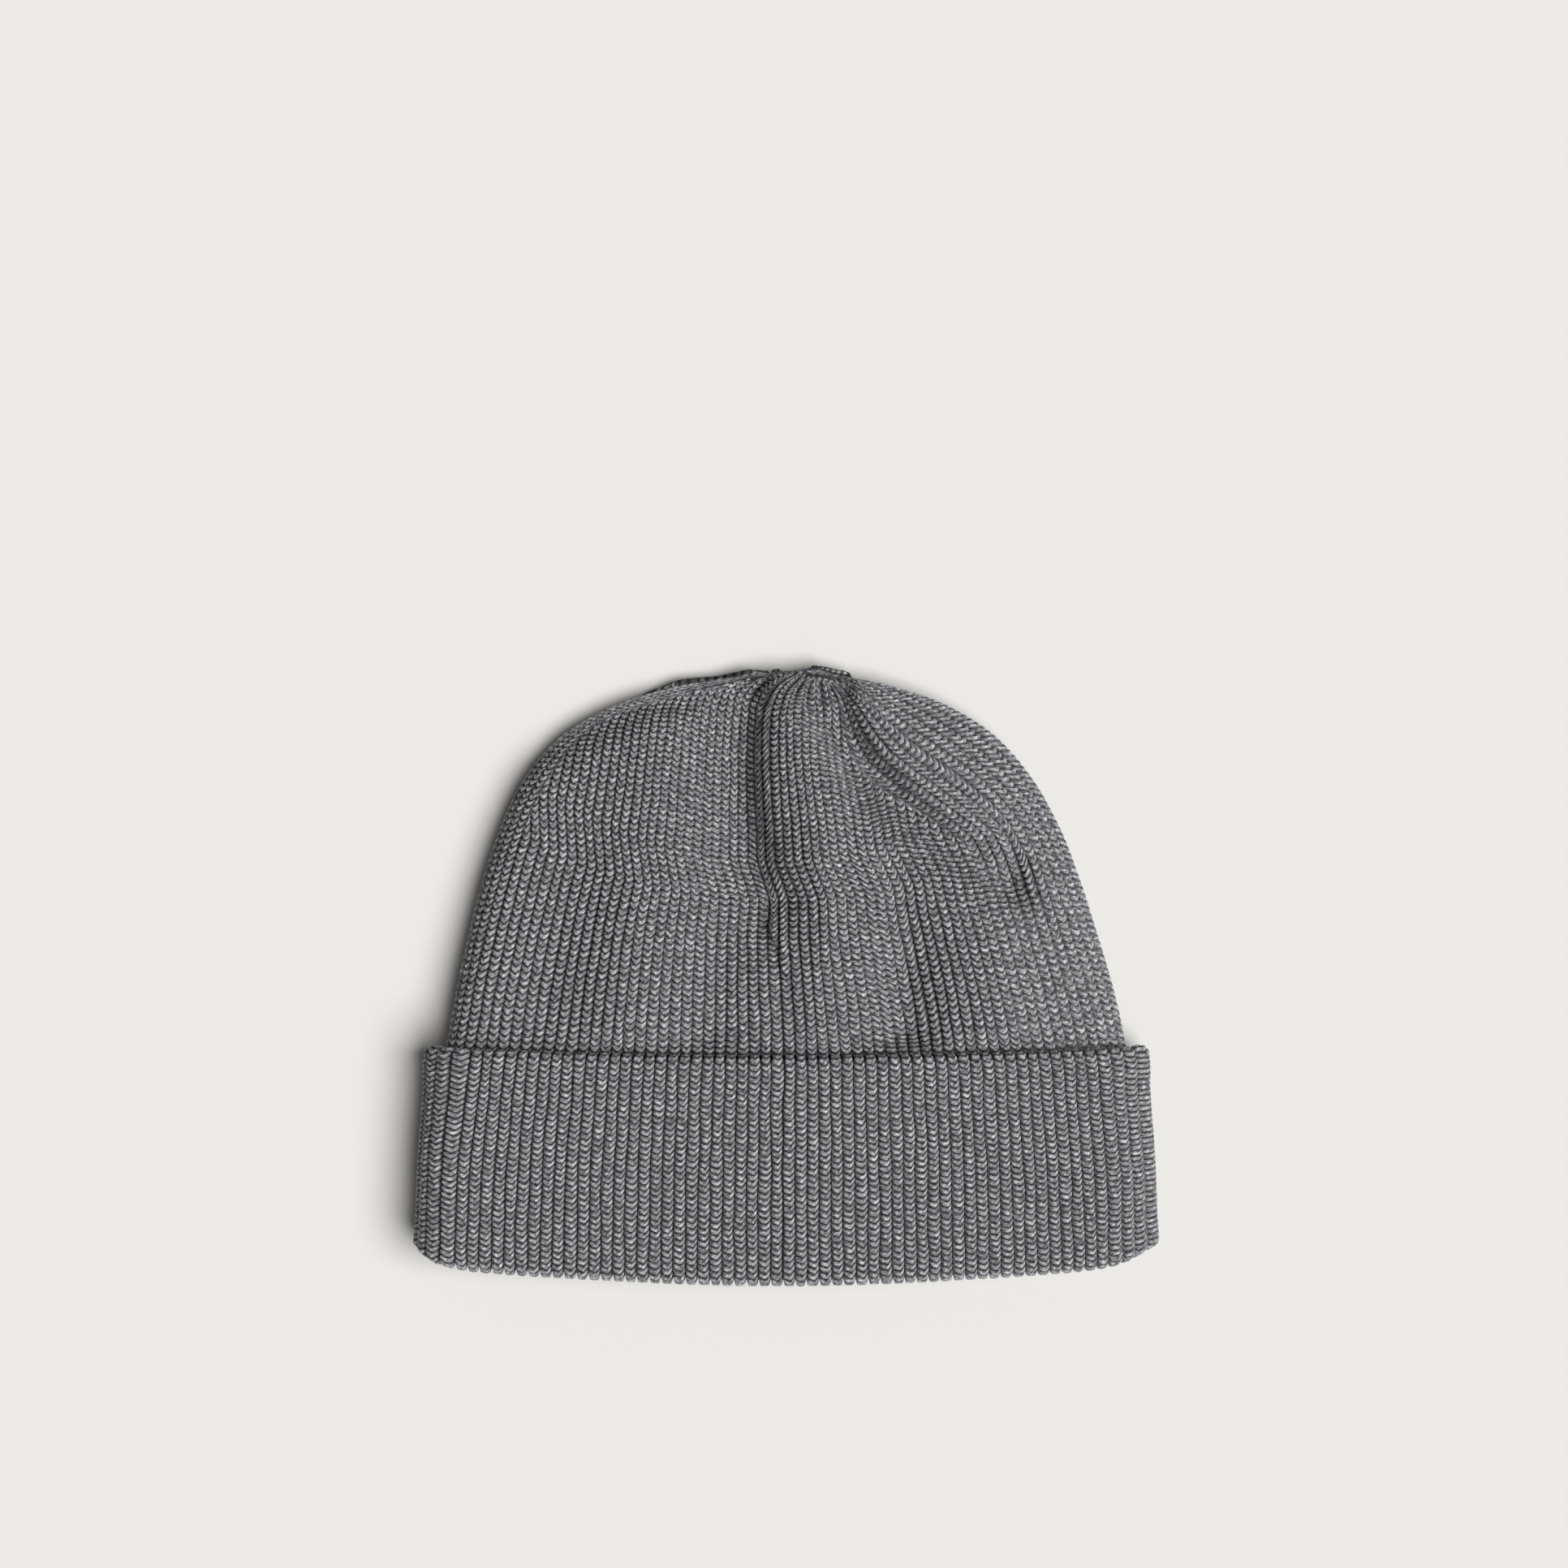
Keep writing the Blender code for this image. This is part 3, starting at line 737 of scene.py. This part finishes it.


# The yarn: greys from dark to light fibres, and the painted shade of its gaps and channels, with
# where it gives way to full brightness
SHADES = (
    (0.36, (0.092, 0.091, 0.097)),
    (0.50, (0.315, 0.312, 0.327)),
    (0.65, (0.89, 0.885, 0.905)),
)
TINTS = ((0.42, (0.985, 0.99, 0.965)), (0.58, (0.975, 0.96, 1.0)))
# Painted shade: how dark the gaps between strands and the channels between ribs are painted
GAP_PAINTED_SHADE = 0.02
CROWN_CHANNEL_PAINTED_SHADE = 0.10
CUFF_CHANNEL_PAINTED_SHADE = 0.07
GAP_FULL = 1.00
CHANNEL_FULL = 0.85
STRAND_POWER = 1.3
FIBRE_PLIES = 3.0  # streaks of fibre across one wale
FIBRE_TURNS = 5.0  # streaks of fibre along one stitch
FIBRE_SHARE = 0.55  # of the grey that comes from fibres; the rest comes from specks
SPECK_SCALE = 700.0
CLOUD_SCALE = 420.0


def yarn_material(name, channel_painted_shade):
    """Heathered grey yarn: marled fibres along each strand, with painted shade in the gaps between
    strands and ribs.
    """
    material = bpy.data.materials.new(name)
    material.use_nodes = True
    tree = material.node_tree
    shader = tree.nodes["Principled BSDF"]
    shader.inputs["Roughness"].default_value = 0.9
    shader.inputs["Specular IOR Level"].default_value = 0.15
    shader.inputs["Sheen Weight"].default_value = 0.08
    shader.inputs["Sheen Roughness"].default_value = 0.5

    uv = tree.nodes.new("ShaderNodeUVMap")
    uv.uv_map = "yarn"
    parts = tree.nodes.new("ShaderNodeSeparateXYZ")
    tree.links.new(uv.outputs["UV"], parts.inputs["Vector"])
    wale, phase = parts.outputs["X"], parts.outputs["Y"]

    # How deep a point lies in the gap between two strands, 0 in the gap and 1 on the strand
    middle = math_node(tree, "MULTIPLY_ADD", math_node(tree, "FRACT", phase), 2.0, -1.0)
    strand = math_node(tree, "SUBTRACT", 1.0, math_node(tree, "MULTIPLY", middle, middle))
    strand = math_node(tree, "POWER", strand, STRAND_POWER)

    # Fibres wound round each strand, and specks of lighter and darker yarn
    twisted = tree.nodes.new("ShaderNodeCombineXYZ")
    tree.links.new(math_node(tree, "MULTIPLY", wale, FIBRE_PLIES), twisted.inputs["X"])
    turned = math_node(tree, "MULTIPLY", wale, FIBRE_TURNS)
    slanted = math_node(tree, "MULTIPLY_ADD", phase, FIBRE_TURNS, turned)
    tree.links.new(slanted, twisted.inputs["Y"])
    fibres = noise(tree, twisted.outputs["Vector"], 1.0, 3.0, 0.7, flat=True)
    place = tree.nodes.new("ShaderNodeTexCoord").outputs["Object"]
    specks = noise(tree, place, SPECK_SCALE, 2.0, 0.6)
    speck_grey = math_node(tree, "MULTIPLY", specks, 1 - FIBRE_SHARE)
    grey = math_node(tree, "MULTIPLY_ADD", fibres, FIBRE_SHARE, speck_grey)
    colour = colour_ramp(tree, grey, SHADES)

    # Faint cool and warm fibres
    clouds = noise(tree, place, CLOUD_SCALE, 1.0, 0.5)
    colour = multiplied(tree, colour, colour_ramp(tree, clouds, TINTS))

    ridge = tree.nodes.new("ShaderNodeAttribute")
    ridge.attribute_name = "ridge"
    painted_shade_share = tree.nodes.new("ShaderNodeAttribute")
    painted_shade_share.attribute_name = "painted_shade_share"
    # Painted shade in the gaps between strands and in the channels between ribs, weaker where less
    # of it is kept
    for value, dark, full in (
        (strand, GAP_PAINTED_SHADE, GAP_FULL),
        (ridge.outputs["Fac"], channel_painted_shade, CHANNEL_FULL),
    ):
        missing = math_node(tree, "SUBTRACT", 1.0, value)
        shallow = math_node(tree, "MULTIPLY", missing, painted_shade_share.outputs["Fac"])
        filled = math_node(tree, "SUBTRACT", 1.0, shallow)
        shade = colour_ramp(tree, filled, ((0.0, (dark,) * 3), (full, (1.0, 1.0, 1.0))))
        colour = multiplied(tree, colour, shade)
    tree.links.new(colour, shader.inputs["Base Color"])

    bump = tree.nodes.new("ShaderNodeBump")
    bump.inputs["Strength"].default_value = 0.5
    bump.inputs["Distance"].default_value = 0.0002
    tree.links.new(fibres, bump.inputs["Height"])
    tree.links.new(bump.outputs["Normal"], shader.inputs["Normal"])
    return material


def plain_material(name, colour, roughness):
    """One even matt colour."""
    material = bpy.data.materials.new(name)
    material.use_nodes = True
    shader = material.node_tree.nodes["Principled BSDF"]
    shader.inputs["Base Color"].default_value = (*colour, 1)
    shader.inputs["Roughness"].default_value = roughness
    shader.inputs["Specular IOR Level"].default_value = 0.0
    return material


FLOOR_DROP = 0.0003
FLOOR_SIZE = 40.0
FLOOR_COLOUR = (0.80, 0.785, 0.755)


def build_floor():
    """A wide pale floor just under the cap."""
    half = FLOOR_SIZE / 2
    mesh = bpy.data.meshes.new("floor")
    corners = [(-half, -half, 0), (half, -half, 0), (half, half, 0), (-half, half, 0)]
    mesh.from_pydata(corners, [], [(0, 1, 2, 3)])
    floor = bpy.data.objects.new("floor", mesh)
    floor.location.z = -FLOOR_DROP
    mesh.materials.append(plain_material("floor", FLOOR_COLOUR, 1.0))
    bpy.context.scene.collection.objects.link(floor)


# Light: one broad soft key, high on the right and a little below, and a faint even sky
KEY_STRENGTH = 3.35
KEY_HEIGHT = 62.0  # degrees above the floor
KEY_SIDE = -22.0  # degrees from +X towards the viewer's lower edge
KEY_SOFTNESS = 43.0  # degrees
SKY = 0.11


def build_light():
    """The key and the sky, and the view transform that keeps the colours as they are."""
    key = bpy.data.lights.new("key", "SUN")
    key.energy = KEY_STRENGTH
    key.angle = math.radians(KEY_SOFTNESS)
    lamp = bpy.data.objects.new("key", key)
    lamp.rotation_euler = (0, math.radians(90 - KEY_HEIGHT), math.radians(KEY_SIDE))
    bpy.context.scene.collection.objects.link(lamp)
    world = bpy.data.worlds.new("sky")
    world.use_nodes = True
    background = world.node_tree.nodes["Background"]
    background.inputs["Color"].default_value = (1.0, 1.0, 1.0, 1)
    background.inputs["Strength"].default_value = SKY
    bpy.context.scene.world = world
    bpy.context.scene.view_settings.view_transform = "Standard"


# Camera: straight above, with the photograph's frame
FRAME_WIDTH = 0.4725  # metres across the frame at the height of the cap's outline
OUTLINE_HEIGHT = 0.012
CAMERA_DISTANCE = 1.6
SENSOR = 36.0
FRAME_MIDDLE = (-0.0005, 0.0581)


def build_camera():
    """A camera that looks straight down."""
    data = bpy.data.cameras.new("camera")
    data.sensor_width = SENSOR
    data.lens = SENSOR * CAMERA_DISTANCE / FRAME_WIDTH
    camera = bpy.data.objects.new("camera", data)
    camera.location = (*FRAME_MIDDLE, OUTLINE_HEIGHT + CAMERA_DISTANCE)
    bpy.context.scene.collection.objects.link(camera)
    bpy.context.scene.camera = camera


def main():
    """Builds the stage and the cap."""
    rng = np.random.default_rng(SEED)
    build_camera()
    build_floor()
    build_light()
    crown_yarn = yarn_material("crown_yarn", CROWN_CHANNEL_PAINTED_SHADE)
    cuff_yarn = yarn_material("cuff_yarn", CUFF_CHANNEL_PAINTED_SHADE)
    # The numbers are points in a wale, rows in a course, and parts side by side
    build_crown("crown_front", True, 6, 6, 2, crown_yarn, rng)
    build_crown("crown_back", False, 3, 4, 1, crown_yarn, rng)
    build_cuff("cuff_front", True, 8, 6, 2, cuff_yarn, rng)
    build_cuff("cuff_back", False, 4, 4, 1, cuff_yarn, rng)
    build_inside("inside_front", True, 3, crown_yarn)
    build_inside("inside_back", False, 3, crown_yarn)


main()
